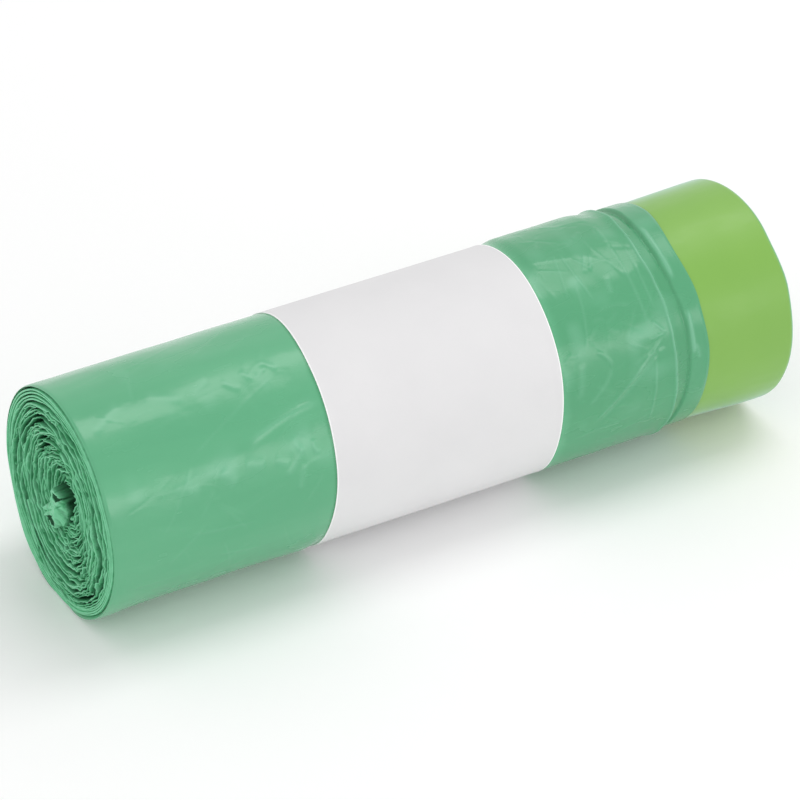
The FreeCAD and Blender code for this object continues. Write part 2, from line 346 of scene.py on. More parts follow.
class Nodes:
    """A material's node tree, with short calls for the nodes that the finishes use."""

    def __init__(self, name: str) -> None:
        """Starts an empty material with one shader.

        Args:
            name: The material's name.
        """
        self.material = bpy.data.materials.new(name)
        self.material.use_nodes = True
        self.tree = self.material.node_tree
        self.shader = self.tree.nodes["Principled BSDF"]

    def add(self, kind: str, **inputs: object) -> bpy.types.Node:
        """Adds a node.

        Args:
            kind: The node's type.
            **inputs: Value of each input, by its name with underscores for spaces.

        Returns:
            The node.
        """
        node = self.tree.nodes.new(kind)
        for name, value in inputs.items():
            node.inputs[name.replace("_", " ")].default_value = value
        return node

    def link(self, start: bpy.types.NodeSocket, end: bpy.types.NodeSocket) -> None:
        """Joins two sockets."""
        self.tree.links.new(start, end)

    def set(self, **inputs: object) -> None:
        """Gives the shader values that are the same all over the surface.

        Args:
            **inputs: Value of each input, by its name with underscores for spaces.
        """
        for name, value in inputs.items():
            self.shader.inputs[name.replace("_", " ")].default_value = value

    def grain(self, grain: Grain) -> bpy.types.NodeSocket:
        """Lays an uneven pattern over the piece, on its object coordinates.

        Args:
            grain: The pattern.

        Returns:
            A socket with the pattern's height, from 0 to 1.
        """
        where = self.add("ShaderNodeTexCoord")
        scale = self.add("ShaderNodeMapping", Scale=grain.per_metre)
        self.link(where.outputs["Object"], scale.inputs["Vector"])
        node = self.add("ShaderNodeTexNoise", Scale=1.0, Detail=grain.detail)
        self.link(scale.outputs["Vector"], node.inputs["Vector"])
        return node.outputs["Fac"]

    def attribute(self, name: str) -> bpy.types.NodeSocket:
        """Reads a number stored on the mesh.

        Args:
            name: The attribute's name.

        Returns:
            A socket with the number.
        """
        node = self.add("ShaderNodeAttribute")
        node.attribute_name = name
        return node.outputs["Fac"]

    def span(self, value: bpy.types.NodeSocket, start: float, end: float, low: float,
             high: float) -> bpy.types.NodeSocket:
        """Carries a number from one range to another.

        Args:
            value: The number.
            start: The number that becomes low.
            end: The number that becomes high.
            low: Start of the new range.
            high: End of the new range.

        Returns:
            A socket with the number in its new range.
        """
        node = self.add("ShaderNodeMapRange", From_Min=start, From_Max=end, To_Min=low, To_Max=high)
        self.link(value, node.inputs["Value"])
        return node.outputs["Result"]

    def sum(self, first: bpy.types.NodeSocket, second: bpy.types.NodeSocket) -> bpy.types.NodeSocket:
        """Adds two numbers.

        Args:
            first: One number.
            second: The other.

        Returns:
            A socket with their sum.
        """
        node = self.add("ShaderNodeMath")
        self.link(first, node.inputs[0])
        self.link(second, node.inputs[1])
        return node.outputs[0]

    def blend(self, factor: bpy.types.NodeSocket, first: Triple | bpy.types.NodeSocket,
              second: Triple | bpy.types.NodeSocket) -> bpy.types.NodeSocket:
        """Mixes two colours.

        Args:
            factor: How much of the second colour shows, from 0 to 1.
            first: One colour, as three numbers or a socket.
            second: The other colour.

        Returns:
            A socket with the mixed colour.
        """
        node = self.tree.nodes.new("ShaderNodeMix")
        node.data_type = "RGBA"
        self.link(factor, node.inputs["Factor"])
        for side, colour in (("A", first), ("B", second)):
            socket = [s for s in node.inputs if s.name == side and s.type == "RGBA"][0]
            if isinstance(colour, bpy.types.NodeSocket):
                self.link(colour, socket)
            else:
                socket.default_value = (*colour, 1.0)
        return [s for s in node.outputs if s.type == "RGBA"][0]

    def rough(self, grain: bpy.types.NodeSocket, shine: Shine, less: float, more: float) -> bpy.types.NodeSocket:
        """Lets the roughness vary a little round a surface's own.

        Args:
            grain: The pattern that it follows.
            shine: The surface's own roughness.
            less: How far it falls below that.
            more: How far it rises above that.

        Returns:
            A socket with the roughness.
        """
        return self.span(grain, 0.3, 0.7, shine.value - less, shine.value + more)

    def bump(self, height: bpy.types.NodeSocket, strength: float, distance: float,
             below: bpy.types.NodeSocket | None = None) -> bpy.types.NodeSocket:
        """Turns a height into a surface normal.

        Args:
            height: The height, from 0 to 1.
            strength: How much of it shows.
            distance: The height that 1 stands for, in metres.
            below: Another bump that this one lies on.

        Returns:
            A socket with the normal.
        """
        node = self.add("ShaderNodeBump", Strength=strength, Distance=distance)
        self.link(height, node.inputs["Height"])
        if below is not None:
            self.link(below, node.inputs["Normal"])
        return node.outputs["Normal"]

    def finish(self, colour: bpy.types.NodeSocket, rough: bpy.types.NodeSocket,
               normal: bpy.types.NodeSocket) -> bpy.types.Material:
        """Links what varies over the surface to the shader.

        Args:
            colour: The colour.
            rough: The roughness.
            normal: The surface normal.

        Returns:
            The finished material.
        """
        self.link(colour, self.shader.inputs["Base Color"])
        self.link(rough, self.shader.inputs["Roughness"])
        self.link(normal, self.shader.inputs["Normal"])
        return self.material


def background_rays(tree: bpy.types.NodeTree) -> bpy.types.NodeSocket:
    """Finds the rays that show the background: to the camera, and in gloss and glass.

    Args:
        tree: The node tree of a material or a world.

    Returns:
        A socket that is 1 for those rays and 0 for the ones that light the roll.
    """
    rays = tree.nodes.new("ShaderNodeLightPath")
    found = rays.outputs["Is Camera Ray"]
    for kind in ("Is Glossy Ray", "Is Transmission Ray"):
        either = tree.nodes.new("ShaderNodeMath")
        either.operation = "MAXIMUM"
        tree.links.new(found, either.inputs[0])
        tree.links.new(rays.outputs[kind], either.inputs[1])
        found = either.outputs[0]
    return found


@dataclass(frozen=True)
class FilmFinish:
    """Thin green film: smooth and glossy, with a painted highlight along its creases and painted shade beside the
    paper and in the hem's valley.

    Attributes:
        name: The material's name.
        colour: The film over more film.
        deep: The same, where it clings.
        hem_tint_and_shade: The film of the hem over tape, and the painted shade beside the paper and in the hem's
            valley.
        pale: Painted highlight along a crease.
        streaks: Pattern of the clinging.
        fine: Pattern of the fine ripples.
        broad: Pattern of the broad ripples and of the gloss.
        ripple: How much of the ripples shows.
        fine_height: Height of the fine ripples, in metres.
        broad_height: Height of the broad ripples, in metres.
        crease_highlight: How strong the painted highlight of the sharpest crease is, from 0 to 1.
        crush_rough: How much rougher crumpled film is.
        sheen: Weight of the soft glow at the film's outline.
        sheen_rough: Its roughness.
    """

    name: str = "green_film"
    colour: Triple = (0.122, 0.440, 0.232)
    deep: Triple = (0.100, 0.400, 0.205)
    hem_tint_and_shade: Triple = (0.070, 0.332, 0.155)
    pale: Triple = (0.230, 0.560, 0.370)
    streaks: Grain = Grain((9.0, 60.0, 60.0), 4.0)
    fine: Grain = Grain((160.0, 420.0, 420.0), 5.0)
    broad: Grain = Grain((45.0, 110.0, 110.0), 3.0)
    ripple: float = 0.10
    fine_height: float = 0.0003
    broad_height: float = 0.0012
    crease_highlight: float = 0.5
    crush_rough: float = 0.09
    sheen: float = 0.13
    sheen_rough: float = 0.3

    def material(self) -> bpy.types.Material:
        """Builds the material.

        Returns:
            The material, which reads the attributes hem, crease and crush.
        """
        n = Nodes(self.name)
        colour = n.blend(n.span(n.grain(self.streaks), 0.35, 0.7, 0.0, 1.0), self.deep, self.colour)
        # The hem mark blends to the hem's own darker tint, and to painted shade beside the paper and in the hem's
        # valley.
        colour = n.blend(n.attribute("hem"), colour, self.hem_tint_and_shade)
        # The crease mark blends to a painted highlight along the creases.
        colour = n.blend(n.span(n.attribute("crease"), 0.0, MOST_CREASED, 0.0, self.crease_highlight), colour, self.pale)
        fine, broad = n.grain(self.fine), n.grain(self.broad)
        crumpled = n.span(n.attribute("crush"), 0.0, 1.0, 0.0, self.crush_rough)
        rough = n.sum(n.rough(broad, Shine.FILM, 0.06, 0.08), crumpled)
        normal = n.bump(fine, self.ripple, self.fine_height, n.bump(broad, self.ripple, self.broad_height))
        n.set(Sheen_Weight=self.sheen, Sheen_Roughness=self.sheen_rough)
        return n.finish(colour, rough, normal)


@dataclass(frozen=True)
class EdgeFinish:
    """The folded edges of the wound film, with a darker, richer painted shade down in the gaps and a painted
    highlight along the crests.

    Attributes:
        name: The material's name.
        colour: The film.
        deep: Painted shade at the bottom of a gap.
        pale: Painted highlight along the crest of a fold, and the paler side of the mottle.
        mottle: Pattern of its small creases.
        relief: How much of the creases shows.
        height: Height of the creases, in metres.
        gap_rough: How much rougher it is at the bottom of a gap.
        specular: How strongly it mirrors.
    """

    name: str = "green_film_folds"
    colour: Triple = (0.107, 0.500, 0.235)
    deep: Triple = (0.008, 0.160, 0.052)
    pale: Triple = (0.218, 0.660, 0.385)
    mottle: Grain = Grain((420.0, 420.0, 420.0), 6.0)
    relief: float = 0.25
    height: float = 0.0004
    gap_rough: float = 0.45
    specular: float = 0.35

    def material(self) -> bpy.types.Material:
        """Builds the material.

        Returns:
            The material, which reads the attribute depth.
        """
        n = Nodes(self.name)
        mottle = n.grain(self.mottle)
        colour = n.blend(n.span(mottle, 0.38, 0.66, 0.0, 1.0), self.colour, self.pale)
        # Painted highlight where the depth is small, along the crests, then painted shade deeper down in the gaps.
        colour = n.blend(n.span(n.attribute("depth"), 0.0, 0.22, 0.7, 0.0), colour, self.pale)
        colour = n.blend(n.span(n.attribute("depth"), 0.1, 1.0, 0.0, 1.0), colour, self.deep)
        in_gap = n.span(n.attribute("depth"), 0.2, 0.9, 0.0, self.gap_rough)
        rough = n.sum(n.rough(mottle, Shine.FILM_EDGE, 0.08, 0.1), in_gap)
        n.set(Specular_IOR_Level=self.specular)
        return n.finish(colour, rough, n.bump(mottle, self.relief, self.height))


@dataclass(frozen=True)
class TapeFinish:
    """Lime tape lying under the clear film of the hem.

    Attributes:
        name: The material's name.
        colour: The tape.
        deep: The same, where the film clings to it.
        lip: The tape's inner edge, under green film.
        bands: Pattern of the clinging and of the swells.
        fine: Pattern of the gloss.
        relief: How much of the swells shows.
        height: Height of the swells, in metres.
        sheen: Weight of the soft glow of the clear film.
        sheen_rough: Its roughness.
        sheen_tint: Its colour.
    """

    name: str = "lime_tape"
    colour: Triple = (0.222, 0.455, 0.076)
    deep: Triple = (0.206, 0.435, 0.070)
    lip: Triple = (0.150, 0.430, 0.200)
    bands: Grain = Grain((30.0, 22.0, 22.0), 3.0)
    fine: Grain = Grain((90.0, 240.0, 240.0), 4.0)
    relief: float = 0.05
    height: float = 0.0008
    sheen: float = 1.0
    sheen_rough: float = 0.3
    sheen_tint: Triple = (0.75, 0.95, 1.0)

    def material(self) -> bpy.types.Material:
        """Builds the material.

        Returns:
            The material, which reads the attribute lip.
        """
        n = Nodes(self.name)
        bands = n.grain(self.bands)
        lime = n.blend(n.span(bands, 0.35, 0.65, 0.0, 1.0), self.deep, self.colour)
        colour = n.blend(n.attribute("lip"), lime, self.lip)
        rough = n.rough(n.grain(self.fine), Shine.TAPE, 0.06, 0.08)
        n.set(Sheen_Weight=self.sheen, Sheen_Roughness=self.sheen_rough, Sheen_Tint=(*self.sheen_tint, 1.0))
        return n.finish(colour, rough, n.bump(bands, self.relief, self.height))


@dataclass(frozen=True)
class PaperFinish:
    """Plain uncoated paper with a soft fibre.

    Attributes:
        name: The material's name.
        colour: The paper.
        fibre: The same, where the fibre is thin.
        painted_edge_highlight: Painted highlight along the paper's two edges.
        cloud: Pattern of the fibre's thickness.
        fibres: Pattern of the single fibres.
        relief: How much of the fibres shows.
        height: Height of the fibres, in metres.
        specular: How strongly it mirrors.
    """

    name: str = "band_paper"
    colour: Triple = (0.775, 0.768, 0.775)
    fibre: Triple = (0.755, 0.748, 0.756)
    painted_edge_highlight: Triple = (0.98, 0.98, 0.98)
    cloud: Grain = Grain((55.0, 55.0, 55.0), 6.0)
    fibres: Grain = Grain((900.0, 2200.0, 2200.0), 3.0)
    relief: float = 0.12
    height: float = 0.00015
    specular: float = 0.25

    def material(self) -> bpy.types.Material:
        """Builds the material.

        Returns:
            The material, which reads the attribute painted_edge_highlight.
        """
        n = Nodes(self.name)
        face = n.blend(n.span(n.grain(self.cloud), 0.3, 0.7, 0.0, 1.0), self.fibre, self.colour)
        # Painted highlight: the two edge rows turn near-white, standing in for light on the paper's thin edges.
        colour = n.blend(n.attribute("painted_edge_highlight"), face, self.painted_edge_highlight)
        fibres = n.grain(self.fibres)
        n.set(Specular_IOR_Level=self.specular)
        rough = n.rough(fibres, Shine.PAPER, 0.05, 0.08)
        return n.finish(colour, rough, n.bump(fibres, self.relief, self.height))


@dataclass(frozen=True)
class Crease:
    """One line on the film, as a ridge or a groove.

    Attributes:
        x0: Place of its start along the roll.
        phi0: Angle of its start.
        x1: Place of its end along the roll.
        phi1: Angle of its end.
        height: Its height, below 0 for a groove.
        width: Half its width.
        bow: How far its middle stands off the straight line.
    """

    x0: float
    phi0: float
    x1: float
    phi1: float
    height: float
    width: float
    bow: float = 0.0

    def near(self, x: np.ndarray, arc: np.ndarray) -> np.ndarray:
        """Finds the places that the line can reach.

        Args:
            x: Place along the roll.
            arc: Place round the roll.

        Returns:
            Whether each place is near the line.
        """
        reach = abs(self.width) * 3.5 + abs(self.bow) + 1.0
        scale = math.radians(OVAL.mean)
        low, high = sorted((self.phi0 * scale, self.phi1 * scale))
        found = (x > min(self.x0, self.x1) - reach) & (x < max(self.x0, self.x1) + reach)
        return found & (arc > low - reach) & (arc < high + reach)

    def shape(self, x: np.ndarray, arc: np.ndarray) -> np.ndarray:
        """Height of the line on the film.

        Args:
            x: Place along the roll.
            arc: Place round the roll.

        Returns:
            The height at each place.
        """
        scale = math.radians(OVAL.mean)
        ax, ay = self.x0, self.phi0 * scale
        dx, dy = self.x1 - ax, self.phi1 * scale - ay
        length = math.hypot(dx, dy)
        along = ((x - ax) * dx + (arc - ay) * dy) / length
        off = ((arc - ay) * dx - (x - ax) * dy) / length
        share = along / length
        off = off - self.bow * 4.0 * share * (1.0 - share)
        fade = smooth(share * 5.0) * smooth((1.0 - share) * 5.0)
        return self.height * fade * bell(off / self.width)


class Stretch(Enum):
    """The two bare stretches of film, on each side of the paper band."""

    FOLD_END = "film_fold_end"
    HEM = "film_hem"


@dataclass
class BagFilm:
    """The smooth outside of the wound bags, from the fold end to the hem.

    Attributes:
        start: Where the film starts, at the fold end.
        band_start: Where the paper starts.
        band_end: Where the paper ends.
        end: Where the film ends, at the tape.
        stretch: Which bare stretch this is.
        columns: Faces round the roll.
        fold_end_step: Distance between two rings at the fold end.
        hem_step: Distance between two rings at the hem.
        bare_inset: How far the bare film lies inside the paper's face.
        rim_inset: How far the film rounds inwards at the rim.
        rim_run: Length of that rounding.
        rim_rings: Depth of each ring that runs down inside the rim.
        lip_rings: Number of rings round the rim.
        under_rings: Number of rings under the paper.
        ridge: About where the hem's ridge runs.
        sag: How far the film sags, by angle.
        loose: How far the film stands off at the hem, by angle.
        groove_depth: How far the hem's groove lies in, by angle.
        creased: How crumpled the whole hem is, by angle.
        finish: Its finish.
    """

    start: float
    band_start: float
    band_end: float
    end: float
    stretch: Stretch
    coarse: float = 1.0
    columns: int = 500
    fold_end_step: float = 0.46
    hem_step: float = 0.31
    bare_inset: float = 0.25
    rim_inset: float = 0.35
    rim_run: float = 1.4
    rim_rings: tuple[float, ...] = (9.0, 5.0, 2.5, 1.0)
    lip_rings: int = 7
    under_rings: int = 8
    ridge: float = 77.8
    sag: Knots = ((150.0, 0.0), (190.0, 0.2), (215.0, 0.7), (250.0, 0.9), (280.0, 0.5), (320.0, 0.0))
    loose: Knots = ((40.0, 0.3), (62.0, 0.9), (92.0, 0.8), (116.0, 0.1), (200.0, 0.0), (300.0, 0.2))
    groove_depth: Knots = ((80.0, 1.7), (105.0, 1.35), (130.0, 1.25), (180.0, 1.4), (225.0, 1.35), (300.0, 1.3))
    creased: Knots = ((60.0, 0.3), (90.0, 0.35), (180.0, 0.35), (206.0, 0.1), (300.0, 0.2))
    finish: FilmFinish = FilmFinish()

    def stations(self) -> np.ndarray:
        """Places the rings of vertices along the roll, closer where the film shows.

        Returns:
            The place of each ring.
        """
        if self.stretch is Stretch.HEM:
            return np.append(np.arange(self.band_end - 1.5, self.end, self.hem_step * self.coarse), self.end)
        rim = self.start + np.array(self.rim_rings)
        lip = self.start + self.rim_run * (1.0 - np.cos(np.linspace(0.0, 0.5 * math.pi, self.lip_rings)))
        left = np.arange(self.start + self.rim_run + 0.4, self.band_start + 2.0, self.fold_end_step * self.coarse)
        under = np.linspace(self.band_start + 2.6, self.band_end - 1.0, self.under_rings)
        return np.concatenate([rim, lip, left, under])

    def inset(self, x: np.ndarray, phi: np.ndarray) -> np.ndarray:
        """How far the film lies inside the paper's face, without its creases.

        Args:
            x: Place along the roll.
            phi: Angle round the roll.

        Returns:
            The inset at each place.
        """
        sag = around(phi, self.sag) * (0.3 + 0.7 * smooth(1.0 - (x - self.start) / 16.0)
                                       + 0.4 * smooth((x - self.band_start + 18.0) / 10.0))
        loose = around(phi, self.loose)
        loose = loose * smooth((x - self.band_end - 0.5) / 5.0) * smooth((self.ridge - 2.5 - x) / 7.0)
        base = self.bare_inset - sag * smooth((self.band_start - 1.5 - x) / 5.0) - loose
        base = base + self.rim_inset * (1.0 - smooth((x - self.start) / self.rim_run)) ** 2
        # The ridge is a soft swell with a sharp crest, and the film falls from it into the groove.
        ridge, groove = around(phi, HEM_RIDGE), around(phi, HEM_GROOVE)
        base = base - 0.28 * bell((x - ridge) / 2.0) - 0.30 * bell((x - ridge) / 0.55)
        share = np.clip((x - ridge) / (groove - ridge), 0.0, 1.0)
        base = base + (0.25 * smooth(share * 5.0) + 0.75 * share) * (around(phi, self.groove_depth) - base)
        # Past the groove it rises to the weld strip, and its last edge dips under the tape.
        base = base + smooth((x - groove - 0.1) / 1.1) * (around(phi, HEM_INSET) - base)
        base = base + 0.20 * bell((x - groove) / 0.32)
        return base + 0.25 * smooth((x - self.end + 0.8) / 0.8)

    def creases(self) -> list[Crease]:
        """Gathers the creases that stand out on the film, then many faint ones.

        Returns:
            The creases.
        """
        plain = [Crease(*line) for line in CREASES]
        if self.stretch is Stretch.HEM:
            return plain + self.faint(190, self.band_end + 1.0, self.ridge - 3.0, 4.0, 13.0, 9)
        return plain + self.faint(110, self.start + 5.0, self.band_start - 6.0, 8.0, 24.0, 5)

    def faint(self, count: int, low: float, high: float, short: float, long: float,
              seed: int) -> list[Crease]:
        """Scatters faint creases over a stretch of the film.

        Args:
            count: How many.
            low: Start of the stretch.
            high: End of the stretch.
            short: Length of the shortest crease.
            long: Length of the longest crease.
            seed: Picks the scatter.

        Returns:
            The creases.
        """
        pick = np.random.default_rng(seed)
        found = []
        for _ in range(count):
            x0 = pick.uniform(low, high - 2.0)
            phi0 = pick.uniform(0.0, 360.0)
            length = pick.uniform(short, long)
            turn = pick.normal(0.0, 0.5) + (math.pi / 2 if pick.random() < 0.25 else 0.0)
            x1 = min(max(x0 + length * math.cos(turn), low - 2.0), high + 2.0)
            phi1 = phi0 + math.degrees(length * math.sin(turn) / OVAL.mean)
            height = pick.uniform(0.03, 0.10) * (1 if pick.random() < 0.6 else -1)
            found.append(Crease(x0, phi0, x1, phi1, height, pick.uniform(0.3, 0.8), pick.normal(0.0, 0.8)))
        return found

    def crush(self, x: np.ndarray, phi: np.ndarray) -> np.ndarray:
        """How badly the film is crumpled.

        Args:
            x: Place along the roll.
            phi: Angle round the roll.

        Returns:
            The state at each place, from 0 for smooth to 1 for crumpled.
        """
        worst = np.zeros_like(x)
        for middle, centre, long, wide, much in CRUMPLED:
            off = (phi - centre + 180.0) % 360.0 - 180.0
            worst = np.maximum(worst, much * np.exp(-((x - middle) / long) ** 2 - (off / wide) ** 2))
        return np.maximum(worst, around(phi, self.creased) * smooth((x - self.band_end) / 2.0))

    def relief(self, x: np.ndarray, phi: np.ndarray) -> tuple[np.ndarray, np.ndarray]:
        """Creases and slack of the film.

        Args:
            x: Place along the roll.
            phi: Angle round the roll.

        Returns:
            The height of the film over its plain form, and how sharply it is creased.
        """
        slack = 0.24 * quilt(x, phi, 24.0, 15, 1)
        slack = slack + 0.11 * quilt(x, phi, 12.0, 27, 2)
        slack = slack + 0.025 * quilt(x, phi, 4.5, 70, 3)
        slack = slack + smooth((x - self.ridge + 14.0) / 8.0) * 0.10 * quilt(x, phi, 5.0, 17, 4)
        slack = slack + self.crush(x, phi) * (
            0.22 * quilt(x, phi, 6.5, 34, 11) + 0.10 * quilt(x, phi, 3.4, 62, 12)
            - 0.14 * np.abs(quilt(x, phi, 5.0, 44, 13)))
        lines = np.zeros_like(x)
        for crease in self.creases():
            for lap in (-360.0, 0.0, 360.0):
                arc = (phi + lap) * math.radians(OVAL.mean)
                near = crease.near(x, arc)
                if near.any():
                    lines[near] += crease.shape(x[near], arc[near])
        return slack + lines, np.clip(np.abs(lines) / 0.25, 0.0, 1.0)

    def build(self) -> None:
        """Builds the film and hands it over."""
        stations = self.stations()
        web, u, v = flat_web(self.stretch.value, len(stations) - 1, int(self.columns / self.coarse))
        ring = np.rint(u * (len(stations) - 1)).astype(int)
        x = stations[ring]
        phi = v * 360.0
        height, sharp = self.relief(x, phi)
        inner = (ring < len(self.rim_rings)) & (self.stretch is Stretch.FOLD_END)
        left, right = around(phi, BAND_LEFT), around(phi, BAND_RIGHT)
        bare = np.maximum(smooth((self.band_start + left - x) / 1.2), smooth((x - self.band_end - right) / 1.2))
        fade = np.where(inner, 0.0, smooth((x - self.start) / 5.0)) * smooth((self.end - x) / 2.0) * bare
        inset = np.where(inner, self.bare_inset + 2.0 * self.rim_inset, self.inset(x, phi) - height * fade)
        x = x + (around(phi, TAPE_EDGE) - self.end) * smooth((x - 86.0) / (self.end - 86.0))
        back = around(phi, RIM_BACK) + 0.3 * wander(phi, 24.0, 6)
        x = x + back * smooth(1.0 - (stations[ring] - self.start) / 14.0)
        wind(web, OVAL.place(x, phi, inset, 0.4 * (1.0 - bare)))
        self.mark_crush_and_painted_light(web, x, phi, sharp * fade, fade)
        turn_outwards(web, SEAM)
        soften(web)
        hand_over(web, self.finish.material(), "bag_roll")

    def mark_crush_and_painted_light(self, web: bpy.types.Object, x: np.ndarray, phi: np.ndarray, sharp: np.ndarray,
                  fade: np.ndarray) -> None:
        """Marks where the film is creased and crumpled, and where the hem's film lies, for its finish: painted
        highlights along the creases, and painted shade beside the paper and in the hem's valley.

        Args:
            web: The film.
            x: Place of each vertex along the roll.
            phi: Angle of each vertex round the roll.
            sharp: How sharply the film is creased there.
            fade: How far the creases stand out there.
        """
        ridge, groove = around(phi, HEM_RIDGE), around(phi, HEM_GROOVE)
        # Painted highlights: the crease mark pales the creases, more on the weld strip, the crest of the hem's ridge
        # and the tops of crumpled bumps.
        crest = bell((x - ridge) / 0.5)
        valley_shade = smooth((x - ridge - 0.6) / 0.8) * smooth((groove + 0.7 - x) / 0.6)
        strip = smooth((x - groove - 0.6) / 0.6)
        crush = self.crush(x, phi)
        painted_bump_highlight = crush * np.clip(quilt(x, phi, 6.5, 34, 11) - 0.1, 0.0, 1.0) * fade
        mark(web, "crease", np.clip((0.7 + 1.1 * strip) * sharp + 1.5 * crest + 2.3 * painted_bump_highlight, 0.0, MOST_CREASED))
        mark(web, "crush", crush)
        # Painted shadow along the paper's left edge, and painted shade in the hem's valley over the hem film's own
        # darker tint.
        painted_shadow_beside_paper = 0.9 * bell((x - self.band_start - around(phi, BAND_LEFT) + 0.35) / 0.4)
        hem_tint_and_shade = (0.68 + 0.32 * valley_shade) * smooth((x - self.band_end) / 4.0)
        mark(web, "hem", np.maximum(painted_shadow_beside_paper, hem_tint_and_shade))


class End(Enum):
    """The two ends of the roll, by the way that each faces along X."""

    FOLD = -1.0
    MOUTH = 1.0


@dataclass(frozen=True)
class Parting:
    """A gap that opens between two neighbouring turns.

    Attributes:
        turn: Number of whole turns outside the gap, counted from the outside.
        seam: Angle at which the gap is shut.
        width: How far the gap pushes each side away, by angle.
        soft: Distance over which the push dies away.
    """

    turn: int
    seam: float
    width: Knots
    soft: float = 2.4

    def push(self, turn: np.ndarray, phi: np.ndarray, start: float, pitch: float) -> np.ndarray:
        """How far the gap pushes the turns on each side of it away.

        Args:
            turn: Place along the winding, in turns from the outside.
            phi: Angle round the roll.
            start: Angle at which the winding starts.
            pitch: Distance between two turns.

        Returns:
            The push at each place, outwards.
        """
        middle = self.turn + 0.5 + ((self.seam - phi) % 360.0 + (start - self.seam) % 360.0) / 360.0
        gap = pitch * (middle - turn)
        return around(phi, self.width) * np.sign(gap) * np.exp(-np.abs(gap) / self.soft)


